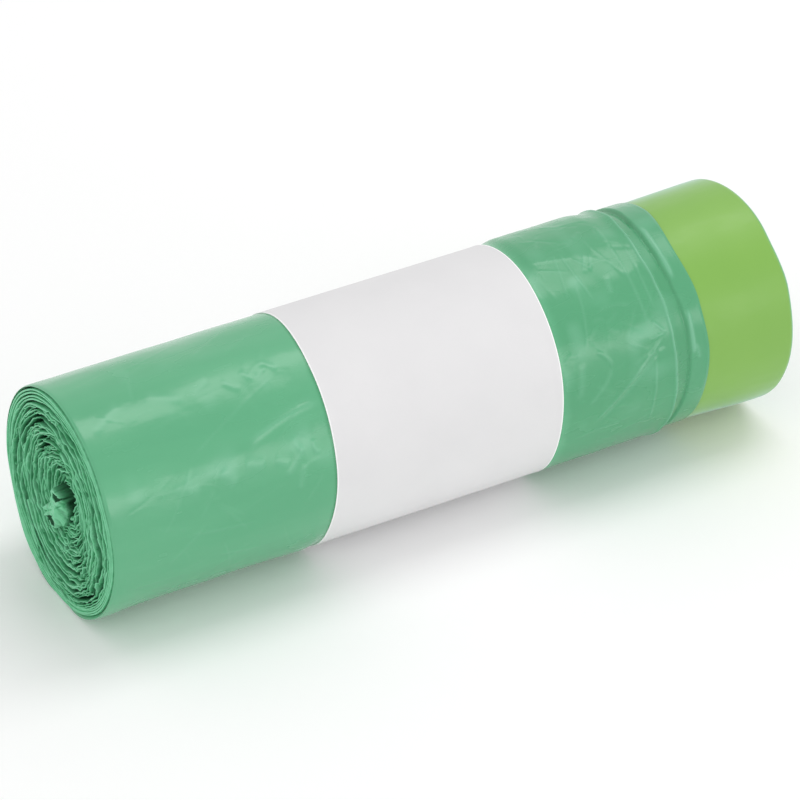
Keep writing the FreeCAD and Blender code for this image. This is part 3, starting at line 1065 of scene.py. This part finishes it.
@dataclass
class WoundTurns:
    """The edges of the wound film at one end, as folds of film side by side in a spiral.

    Attributes:
        name: The piece's name.
        node: The CAD node that it stands for.
        slot: A material slot's name; not used.
        edge: Where the outermost edges lie along the roll.
        end: Which end of the roll this is.
        turns: Number of turns.
        first_inset: How far the first turn lies inside the mean round.
        pitch: Distance between two turns.
        thickness: Thickness of one fold.
        depth: How far down each fold reaches.
        spacing: Length of one face along the winding.
        crinkle: How deeply the folds are pleated.
        seed: Picks the pattern.
        finish: Its finish.
        partings: The gaps between turns.
        turns_before: Turns that another piece has wound outside this one.
        sink: How far the turns hang down inside the roll.
        start_deg: Angle at which the winding starts.
        rows: Faces across one fold.
        lowest: Least height over the floor.
        dish: How far the edges stand back from the end, by distance from the axis.
        hang: Share of the sink, by distance from the axis.
        tucked: How sharply the turns are tucked in zigzags, by angle.
        skirt: How far down each row lies, by its share of the way from the crest.
        girth: How far each row stands off the middle of the fold, by the same share.
    """

    name: str
    node: str
    slot: str
    edge: float
    end: End
    turns: float
    first_inset: float
    pitch: float
    thickness: float
    depth: float
    spacing: float
    crinkle: float
    seed: int
    finish: EdgeFinish | TapeFinish
    partings: tuple[Parting, ...] = ()
    turns_before: int = 0
    sink: float = 0.0
    start_deg: float = 330.0
    rows: int = 8
    lowest: float = 0.35
    dish: Knots = ((4.0, 4.6), (9.0, 4.0), (12.0, 3.2), (15.0, 2.5), (19.0, 1.8), (23.0, 1.2), (27.0, 0.7),
                   (31.0, 0.3), (38.0, 0.0))
    hang: Knots = ((4.0, 0.0), (12.0, 0.3), (22.0, 0.9), (29.0, 1.0), (37.0, 0.0))
    tucked: Knots = ((200.0, 0.0), (225.0, 0.9), (275.0, 1.0), (310.0, 0.35), (20.0, 0.25), (90.0, 0.2))
    skirt: Knots = ((0.0, 0.0), (0.25, 0.10), (0.5, 0.42), (0.75, 1.8))
    girth: Knots = ((0.0, 0.0), (0.25, 0.62), (0.5, 0.94), (0.75, 1.0), (1.0, 0.85))

    def stand_back(self, radius: np.ndarray, phi: np.ndarray) -> np.ndarray:
        """How far the edges stand back from the end.

        Args:
            radius: Distance from the axis.
            phi: Angle round the roll.

        Returns:
            The distance at each place.
        """
        back = between(radius, self.dish)
        if self.end is End.MOUTH:
            return 0.4 * back
        off = (phi - 165.0 + 180.0) % 360.0 - 180.0
        hollow = 0.9 * bell(off / 60.0) * smooth((17.5 - radius) / 7.0)
        return back + hollow + around(phi, RIM_BACK) * smooth((radius - 28.0) / 8.0)

    def nested(self, radius: np.ndarray, phi: np.ndarray, rough: np.ndarray) -> np.ndarray:
        """How far turns that lie together are pushed in or out together.

        Args:
            radius: Distance from the axis.
            phi: Angle round the roll.
            rough: How uneven the turns are there, from 0 to 1.

        Returns:
            The push at each place, outwards.
        """
        shift = 0.75 * quilt(radius, phi, 7.0, 7, self.seed + 20)
        shift = shift + 0.30 * quilt(radius, phi, 3.0, 23, self.seed + 21)
        zigzag = wander(phi / 360.0 * 32.0 + radius / 6.5 + 9.0, 0.5, self.seed + 23, True)
        tucks = 0.75 * around(phi, self.tucked) * zigzag * smooth((33.0 - radius) / 3.0)
        sunk = self.sink * between(radius, self.hang)
        return rough * (shift + tucks) + sunk * np.cos(np.radians(phi - 285.0))

    def build(self) -> None:
        """Builds the turns and hands them over."""
        outer = OVAL.mean - self.first_inset
        length = 2.0 * math.pi * (outer * self.turns - self.pitch * self.turns ** 2 / 2.0)
        web, u, v = flat_web(self.name, int(length / self.spacing), self.rows)
        arc = u * length
        turn = (outer - np.sqrt(np.maximum(outer ** 2 - self.pitch * arc / math.pi, 0.0))) / self.pitch
        phi = (self.start_deg - 360.0 * turn) % 360.0
        radius = outer - self.pitch * turn
        rough = smooth((OVAL.mean - 2.6 - radius) / 4.0)

        # Each fold is an arch: its crest is the film's folded edge, and both sides run down.
        across = 2.0 * v - 1.0
        place = np.abs(across)
        below = between(place, self.skirt + ((1.0, self.depth),))
        bulge = np.sign(across) * between(place, self.girth)
        thick = self.thickness * (0.92 - 0.34 * rough * (1.0 + wander(arc, 9.0, self.seed + 1)))

        # Loose stretches are pleated, and some folds have fallen over to one side.
        folds = 0.45 * wander(arc, 2.0, self.seed + 2, True) + 0.36 * wander(arc, 0.95, self.seed + 3, True)
        loose = smooth((0.35 + wander(arc, 13.0, self.seed + 9)) * 1.6)
        pleats = self.crinkle * rough * folds * (0.25 + 0.75 * loose) * (1.0 - 0.6 * place)
        fallen = smooth((wander(arc, 7.0, self.seed + 10) - 0.4) * 3.0) * np.sign(wander(arc, 40.0, self.seed + 11))
        lean = rough * (0.30 * wander(arc, 8.0, self.seed + 5) + 0.9 * fallen) * (1.0 - place) ** 0.7
        radial = radius + self.nested(radius, phi, rough) + pleats + lean - bulge * thick / 2.0
        for parting in self.partings:
            radial = radial + parting.push(turn + self.turns_before, phi, self.start_deg, self.pitch)
        rise = (0.22 + 0.65 * rough) * wander(arc, 14.0, self.seed + 6) + self.crinkle * rough * (
            0.50 * loose * wander(arc, 2.7, self.seed + 7, True) + 0.35 * quilt(radius, phi, 4.0, 19, self.seed + 22))

        x = self.edge - self.end.value * (self.stand_back(radius, phi) + rise + below)
        oval = OVAL.radius(phi) / OVAL.mean
        y = oval * radial * np.cos(np.radians(phi))
        z = OVAL.height + oval * radial * np.sin(np.radians(phi))
        wind(web, np.stack([x, y, np.maximum(z, self.lowest)], axis=1) * MM)
        # The depth down each fold drives the finish's painted shade in the gaps and its painted highlight on the
        # crests.
        mark(web, "depth", 1.0 - np.exp(-below / (1.9 - 0.9 * rough)))
        soften(web, 42.0)
        hand_over(web, self.finish.material(), self.node)


def fold_end_partings() -> tuple[Parting, ...]:
    """Opens the gaps of the fold end: the deep ones in their places, then narrow ones anywhere.

    Returns:
        The gaps.
    """
    found = [
        Parting(9, 180.0, ((10.0, 0.7), (60.0, 0.6), (84.0, 0.28), (112.0, 0.1), (180.0, 0.0), (235.0, 0.2),
                           (262.0, 0.6), (300.0, 1.0), (338.0, 0.95))),
        Parting(16, 190.0, ((7.0, 0.75), (47.0, 0.55), (79.0, 0.22), (100.0, 0.1), (190.0, 0.0), (270.0, 0.1),
                            (300.0, 0.5), (342.0, 0.9))),
        Parting(6, 20.0, ((20.0, 0.0), (90.0, 0.2), (103.0, 0.4), (152.0, 0.5), (208.0, 0.6), (240.0, 0.4),
                          (280.0, 0.1))),
        Parting(1, 300.0, ((300.0, 0.0), (20.0, 0.15), (80.0, 0.35), (200.0, 0.42), (250.0, 0.15))),
        Parting(3, 330.0, ((330.0, 0.0), (30.0, 0.2), (100.0, 0.35), (180.0, 0.5), (260.0, 0.3))),
    ]
    pick = np.random.default_rng(61)
    for turn in (5, 8, 11, 13, 15, 18, 20, 22, 24, 27, 29, 31, 33):
        seam = pick.uniform(0.0, 360.0)
        middle = seam + pick.uniform(110.0, 250.0)
        spread = pick.uniform(45.0, 95.0)
        wide = pick.uniform(0.25, 0.55)
        knots = sorted(((middle % 360.0, wide), ((middle + spread) % 360.0, 0.0), ((middle - spread) % 360.0, 0.0),
                        (seam, 0.0)))
        found.append(Parting(turn, seam, tuple(knots)))
    return tuple(found)


@dataclass
class PackedFilm:
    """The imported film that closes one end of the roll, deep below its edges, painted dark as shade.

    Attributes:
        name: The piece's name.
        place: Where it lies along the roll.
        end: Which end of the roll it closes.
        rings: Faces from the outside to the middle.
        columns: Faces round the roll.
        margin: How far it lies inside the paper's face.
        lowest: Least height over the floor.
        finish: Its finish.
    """

    name: str
    place: float
    end: End
    rings: int = 24
    columns: int = 160
    margin: float = 1.6
    lowest: float = 0.4
    finish: EdgeFinish = EdgeFinish()

    def build(self) -> None:
        """Builds the film as a closed disc and hands it over."""
        web, u, v = flat_web(self.name, self.rings, self.columns)
        share = 1.0 - u
        phi = v * 360.0
        inset = (1.0 - share) * OVAL.radius(phi) + self.margin * share
        uneven = 0.4 * wander(phi * 0.3 + 40.0 * u, 3.0, 31) * share * u
        x = np.full_like(u, self.place) + self.end.value * uneven
        wind(web, OVAL.place(x, phi, inset, self.lowest))
        # Painted shade: marked deep all over, so the whole disc takes the finish's dark shade colour.
        mark(web, "depth", np.full_like(u, 0.9))
        turn_outwards(web, SEAM)
        soften(web)
        hand_over(web, self.finish.material(), "bag_roll")


@dataclass
class Crumple:
    """The first winding of film, squeezed into a crumpled leaf in the middle of the fold end.

    Attributes:
        edge: Where the fold end's outermost edges lie, along the roll.
        y: Middle of the leaf, sideways from the axis.
        z: Middle of the leaf, up from the axis.
        crown: How far the middle lies inside the edge.
        depth: How far the leaf's border is tucked down.
        rings: Faces from the middle to the border.
        columns: Faces round the leaf.
        folds: Each straight fold, as its angle, its length and how far its tip lies inside the edge.
        mouths: Corners of the openings, which are painted dark as shade, sideways and up from the middle.
        finish: Its finish.
    """

    edge: float
    y: float = 3.79
    z: float = -5.29
    crown: float = 0.4
    depth: float = 5.0
    rings: int = 72
    columns: int = 180
    folds: tuple[Triple, ...] = (
        (10.0, 4.9, 1.4), (30.0, 4.0, 0.6), (50.0, 4.6, 1.2), (94.0, 9.2, -0.3), (110.0, 8.4, 0.3), (126.0, 8.8, 0.7),
        (136.0, 6.0, 2.8), (148.0, 7.2, 2.1), (170.0, 5.2, 3.4), (190.0, 5.6, 2.4), (212.0, 5.0, 3.3),
        (234.0, 6.6, 1.6), (256.0, 6.8, 3.0), (278.0, 9.6, 0.5), (298.0, 10.2, 0.0), (316.0, 10.8, 0.0),
        (322.0, 9.9, 1.1), (330.0, 10.8, 0.1), (346.0, 6.4, 1.9))
    mouths: tuple[Knots, ...] = (
        ((0.3, 6.3), (-1.2, 3.4), (-4.9, 6.6)), ((8.9, -8.4), (1.9, -3.9), (1.6, -8.0)))
    # The leaf's finish has a near-black painted shade for its openings and tucked border.
    finish: EdgeFinish = EdgeFinish(name="green_film_leaf", deep=(0.003, 0.06, 0.02))

    def mouth(self, y: np.ndarray, z: np.ndarray) -> np.ndarray:
        """Finds the openings, which are sunk and painted dark as shade.

        Args:
            y: Place sideways from the middle of the leaf.
            z: Place up from the middle of the leaf.

        Returns:
            How far each place lies in an opening, from 0 outside to 1 inside.
        """
        found = np.zeros_like(y)
        for corners in self.mouths:
            inside = np.full_like(y, 9.0)
            sides = list(zip(corners, corners[1:] + corners[:1]))
            turn = sum(y0 * z1 - y1 * z0 for (y0, z0), (y1, z1) in sides)
            for (y0, z0), (y1, z1) in sides:
                off = ((y1 - y0) * (z - z0) - (z1 - z0) * (y - y0)) / math.hypot(y1 - y0, z1 - z0)
                inside = np.minimum(inside, off * math.copysign(1.0, turn))
            found = np.maximum(found, smooth((inside + 0.15) / 0.3))
        return found

    def build(self) -> None:
        """Builds the leaf and hands it over."""
        web, share, v = flat_web("fold_end_crumple", self.rings, self.columns)
        angle = v * 360.0
        degrees, lengths, tips = np.array(self.folds).T
        reach = np.interp(angle, degrees, lengths, period=360.0)
        tip = np.interp(angle, degrees, tips, period=360.0)
        reach = reach + (0.35 * wander(angle / 7.0 + 4.0, 1.0, 53, True)
                         + 0.30 * wander(angle / 3.0 + 4.0, 1.0, 56, True)) * smooth(share * 2.0)
        y = share * reach * np.cos(np.radians(angle))
        z = share * reach * np.sin(np.radians(angle))
        small = 0.75 * np.abs(wander(y * 0.7 - z * 0.9 + 40.0, 2.1, 54, True)) \
            + 0.35 * np.abs(wander(y + z * 0.6 + 60.0, 1.2, 55, True))
        mouth = self.mouth(y, z)
        down = smooth((share - 0.88) / 0.12) * self.depth
        back = self.crown + (tip - self.crown) * share + small * (0.3 + 0.7 * share) + down + 0.5 * mouth
        wind(web, np.stack([self.edge + back, self.y + y, OVAL.height + self.z + z], axis=1) * MM)
        # Painted shade: the openings, the tucked border and the low parts are marked deep; the high parts take the
        # finish's painted highlight.
        sunk = np.clip(0.16 * (back - down - 0.9) + 0.55 * (small - 0.35), 0.0, 0.6)
        mark(web, "depth", np.clip(1.6 * mouth + 1.0 - np.exp(-down / 1.6) + sunk, 0.0, 1.0))
        turn_outwards(web, SEAM)
        soften(web, 16.0)
        hand_over(web, self.finish.material(), "bag_roll")


@dataclass
class PaperBand:
    """The paper band, one sheet wrapped round the roll and glued over its own end.

    Attributes:
        start: Where the band starts along the roll.
        end: Where it ends.
        lap_deg: Angle at which the sheet starts.
        lap: How far the sheet runs over its own start.
        thickness: Thickness of the sheet.
        under: How far the sheet's start lies in, under the lap.
        columns: Faces round the roll.
        edge_rows: Rows of vertices across the sheet and their shares of its width, close at both of its edges.
        finish: Its finish.
    """

    start: float
    end: float
    lap_deg: float = 312.0
    lap: float = 20.0
    thickness: float = 0.28
    under: float = 0.3
    columns: int = 460
    edge_rows: Knots = ((0.0, 0.0), (1.0, 0.0038), (2.0, 0.0048), (62.0, 0.9952), (63.0, 0.9962), (64.0, 1.0))
    finish: PaperFinish = PaperFinish()

    def build(self) -> None:
        """Builds the band and hands it over."""
        rows = int(self.edge_rows[-1][0])
        web, u, v = flat_web("paper_wrap", self.columns, rows)
        row = np.rint(v * rows)
        # The two edge rows are marked for the finish's painted highlight.
        mark(web, "painted_edge_highlight", (row < 1.5) | (row > rows - 1.5))
        v = between(row, self.edge_rows)
        angle = self.lap_deg + u * (360.0 + self.lap)
        phi = angle % 360.0
        tucked = 1.0 - smooth((angle - self.lap_deg - self.lap * 0.85) / (self.lap * 0.3))
        left, right = around(phi, BAND_LEFT), around(phi, BAND_RIGHT)
        x = self.start + left + v * (self.end - self.start + right - left)
        wave = 0.05 * quilt(x, phi, 16.0, 11, 71)
        lift = 0.12 * (bell((x - self.start) / 1.2) + bell((x - self.end) / 1.2))
        inset = self.under * tucked - 0.02 - wave * (1.0 - tucked) - lift
        wind(web, OVAL.place(x, phi, inset, 0.0))
        self.thicken(web)
        soften(web, 40.0)
        hand_over(web, self.finish.material(), "paper_band")

    def thicken(self, web: bpy.types.Object) -> None:
        """Gives the sheet its thickness, inwards.

        Args:
            web: The sheet.
        """
        turn_outwards(web)
        solid = web.modifiers.new("paper_thickness", "SOLIDIFY")
        solid.thickness = self.thickness * MM
        solid.offset = -1.0
        bpy.ops.object.modifier_apply(modifier=solid.name)


@dataclass
class HemTape:
    """The outer turn of the tape, under the clear film of the hem.

    Attributes:
        start: Where the tape's edge shows beside the film.
        end: Where the tape ends, at the mouth.
        tuck: How far it runs on under the film.
        rim: Length of its rounded rim.
        step: Distance between two rings.
        rim_rings: Number of rings round the rim.
        lip: Rings inside the rim, as their distance from the end and how far in they lie.
        columns: Faces round the roll.
        flare: How far the tape lies inside the paper's face at the mouth, by angle.
        reach: How far its rim runs past its place, by angle.
        finish: Its finish.
    """

    start: float
    end: float
    tuck: float = 2.5
    rim: float = 2.0
    step: float = 0.5
    rim_rings: int = 8
    lip: Knots = ((1.0, 2.2), (5.0, 2.4))
    columns: int = 420
    flare: Knots = ((60.0, 0.3), (90.0, -0.1), (140.0, 0.4), (180.0, 0.3), (215.0, 0.2), (300.0, 0.9))
    reach: Knots = ((70.0, -2.0), (120.0, 0.2), (150.0, 1.8), (190.0, 2.3), (215.0, 2.0), (250.0, 0.5),
                    (300.0, -0.6))
    finish: TapeFinish = TapeFinish()

    def build(self) -> None:
        """Builds the turn of tape and hands it over."""
        run = np.arange(self.start - self.tuck, self.end - self.rim, self.step)
        curl = np.linspace(0.0, 1.0, self.rim_rings) * math.pi / 2.0
        lip_back, lip_in = np.array(self.lip).T
        places = np.concatenate([run, self.end - self.rim + self.rim * np.sin(curl), self.end - lip_back])
        drops = np.concatenate([np.zeros(len(run)), self.rim * (1.0 - np.cos(curl)) * 0.8, lip_in])
        web, u, v = flat_web("hem_tape", len(places) - 1, self.columns)
        ring = np.rint(u * (len(places) - 1)).astype(int)
        mark(web, "lip", smooth((ring - len(run) - 1.5) / 2.0))
        x, phi = places[ring], v * 360.0
        length = self.end - self.start
        near = around(phi, HEM_INSET) + 0.4
        base = near + (around(phi, self.flare) - near) * smooth((x - self.start) / (length - 3.0))
        wave = 0.07 * quilt(x, phi, 14.0, 9, 81) * smooth((x - self.start - 2.0) / 6.0)
        x = x + (around(phi, TAPE_EDGE) - self.start) * smooth((x - self.start + 3.0) / 2.0) * smooth(
            (self.end - x) / 20.0)
        x = x + around(phi, self.reach) * smooth((x - self.start) / length)
        lowest = 0.3 * (1.0 - smooth((x - self.start) / 1.5))
        wind(web, OVAL.place(x, phi, base + drops[ring] - wave, lowest))
        turn_outwards(web, SEAM)
        soften(web)
        hand_over(web, self.finish.material(), "draw_tape")


@dataclass(frozen=True)
class Softbox:
    """A rectangular soft light.

    Attributes:
        name: The light's name.
        towards: Direction from the roll to the light.
        distance: Distance to the light, in metres.
        size: Its length along the roll and its width, in metres.
        glow: Its brightness, where white paper in full light is 1.
    """

    name: str
    towards: Triple
    distance: float
    size: tuple[float, float]
    glow: float

    def place(self, target: Vector) -> None:
        """Places the light and turns it to the roll.

        Args:
            target: The point that it shines on, in metres.
        """
        data = bpy.data.lights.new(self.name, "AREA")
        data.shape = "RECTANGLE"
        data.size, data.size_y = self.size
        data.energy = self.glow * math.pi * self.size[0] * self.size[1]
        lamp = bpy.data.objects.new(self.name, data)
        bpy.context.scene.collection.objects.link(lamp)
        aim = Vector(self.towards).normalized()
        lamp.location = target + aim * self.distance
        side = aim.cross(Vector((1.0, 0.0, 0.0))).normalized()
        along = side.cross(aim).normalized()
        lamp.rotation_euler = Matrix((along, side, aim)).transposed().to_euler()


@dataclass(frozen=True)
class Studio:
    """The floor, the soft lights and the camera.

    Attributes:
        target: The point that the camera looks at.
        azimuth: Direction of the camera from the front, in degrees.
        elevation: Its height over the floor, in degrees.
        distance: Its distance from the target.
        focal_px: Its focal length, in pixels of the picture.
        image_px: Width of the picture, in pixels.
        sensor: Width of its sensor.
        floor_size: Width of the floor, in metres.
        floor_drop: How far the floor lies below the roll.
        floor_lift: Glow that takes the floor to white, for background rays alone.
        ambient: Brightness of the room.
        softboxes: The soft lights.
    """

    target: Triple = (-3.03, -2.96, 38.55)
    azimuth: float = -28.484
    elevation: float = 36.190
    distance: float = 1485.86
    focal_px: float = 4672.2
    image_px: float = 800.0
    sensor: float = 36.0
    floor_size: float = 12.0
    floor_drop: float = 0.02
    floor_lift: float = 0.045
    ambient: float = 0.76
    softboxes: tuple[Softbox, ...] = (
        Softbox("softbox_above", (0.385, 0.06, 0.917), 1.3, (1.1, 0.56), 2.4),
        Softbox("softbox_end", (-0.93, -0.22, 0.30), 1.5, (0.7, 1.0), 0.75),
        Softbox("softbox_front", (0.385, -0.910, 0.155), 1.3, (1.1, 0.36), 2.2),
    )

    def camera(self) -> None:
        """Places the camera where the photograph was taken from."""
        az, el = math.radians(self.azimuth), math.radians(self.elevation)
        back = Vector((math.sin(az) * math.cos(el), -math.cos(az) * math.cos(el), math.sin(el)))
        data = bpy.data.cameras.new("camera")
        data.sensor_width = self.sensor
        data.lens = self.focal_px / self.image_px * self.sensor
        data.clip_end = 100.0
        cam = bpy.data.objects.new("camera", data)
        bpy.context.scene.collection.objects.link(cam)
        cam.location = (Vector(self.target) + back * self.distance) * MM
        cam.rotation_euler = (-back).to_track_quat("-Z", "Y").to_euler()
        bpy.context.scene.camera = cam

    def floor(self) -> None:
        """Lays the pale floor."""
        bpy.ops.object.select_all(action="DESELECT")
        bpy.ops.mesh.primitive_plane_add(size=self.floor_size, location=(0.0, 0.0, -self.floor_drop * MM))
        plane = bpy.context.object
        plane.name = "studio_floor"
        n = Nodes("studio_floor")
        n.set(Base_Color=(0.97, 0.97, 0.97, 1.0), Roughness=0.9, Specular_IOR_Level=0.0,
              Emission_Color=(1.0, 1.0, 1.0, 1.0))
        n.link(n.span(background_rays(n.tree), 0.0, 1.0, 0.0, self.floor_lift), n.shader.inputs["Emission Strength"])
        plane.data.materials.append(n.material)

    def world(self) -> None:
        """Lights the room evenly, and shows it white to the camera and in reflections."""
        world = bpy.data.worlds.new("studio")
        bpy.context.scene.world = world
        world.use_nodes = True
        tree = world.node_tree
        glow = tree.nodes["Background"]
        glow.inputs["Color"].default_value = (1.0, 1.0, 1.0, 1.0)
        level = tree.nodes.new("ShaderNodeMapRange")
        level.inputs["To Min"].default_value = self.ambient
        level.inputs["To Max"].default_value = 1.0
        tree.links.new(background_rays(tree), level.inputs["Value"])
        tree.links.new(level.outputs["Result"], glow.inputs["Strength"])

    def build(self) -> None:
        """Builds the whole studio."""
        self.camera()
        self.floor()
        self.world()
        for softbox in self.softboxes:
            softbox.place(Vector(self.target) * MM)
        bpy.context.scene.view_settings.view_transform = "Standard"
        log.info("studio: camera, floor and lights are in place")


def build_fold_end(edge: float, fine: float, turns: int = 19, extra: int = 2, pitch: float = 0.87,
                   first: float = 1.1) -> None:
    """Builds the fold end: its wound turns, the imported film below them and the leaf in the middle.

    Args:
        edge: Where the fold end's outermost edges lie, along the roll.
        turns: Turns of each of the two pieces.
        extra: Further turns of the inner piece.
        pitch: Distance between two turns.
        first: How far the first turn lies inside the mean round.
    """
    gaps = fold_end_partings()
    for part, name in enumerate(("fold_end_outer_turns", "fold_end_inner_turns")):
        WoundTurns(
            name=name, node="bag_roll", slot="bag_film", edge=edge, end=End.FOLD, turns=turns + extra * part,
            turns_before=part * turns, sink=2.2, first_inset=first + part * turns * pitch, pitch=pitch,
            thickness=0.80, depth=7.0, spacing=0.34 * fine, crinkle=1.0 + 0.3 * part, seed=100 + 40 * part,
            finish=EdgeFinish(name=f"green_{name}"), partings=gaps,
        ).build()
    PackedFilm(name="fold_end_floor", place=edge + 9.0, end=End.FOLD).build()
    Crumple(edge=edge).build()


def build_mouth(edge: float, fine: float) -> None:
    """Builds the mouth: green folds and tape folds wound together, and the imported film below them.

    Args:
        edge: Where the mouth ends, along the roll.
    """
    WoundTurns(
        name="mouth_turns", node="bag_roll", slot="bag_film", edge=edge - 0.6, end=End.MOUTH, turns=14.5,
        first_inset=3.6, pitch=2.0, thickness=0.9, depth=7.0, spacing=0.8 * fine, crinkle=0.35, seed=200,
        finish=EdgeFinish(name="green_hem_folds"),
    ).build()
    WoundTurns(
        name="tape_turns", node="draw_tape", slot="tape_film", edge=edge - 1.2, end=End.MOUTH, turns=13.5,
        first_inset=4.6, pitch=2.0, thickness=0.6, depth=6.0, spacing=0.8 * fine, crinkle=0.3, seed=200,
        finish=TapeFinish(name="lime_tape_turns"),
    ).build()
    PackedFilm(name="mouth_floor", place=edge - 8.0, end=End.MOUTH).build()


def main() -> None:
    """Builds every piece from the frame's own sizes."""
    logging.basicConfig(level=logging.INFO, format="%(message)s")
    fine = 1.0
    roll, band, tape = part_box("bag_roll"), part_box("paper_band"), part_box("draw_tape")
    fold_end, mouth_end = roll[0][0] / MM, roll[1][0] / MM
    band_start, band_end = band[0][0] / MM, band[1][0] / MM
    tape_start = tape[0][0] / MM

    Studio().build()
    for stretch in Stretch:
        BagFilm(start=fold_end + 0.3, band_start=band_start, band_end=band_end, end=tape_start,
                stretch=stretch, coarse=fine).build()
    PaperBand(start=band_start, end=band_end).build()
    HemTape(start=tape_start, end=mouth_end).build()
    build_fold_end(fold_end, fine)
    build_mouth(mouth_end, fine)


if __name__ == "__main__":
    main()
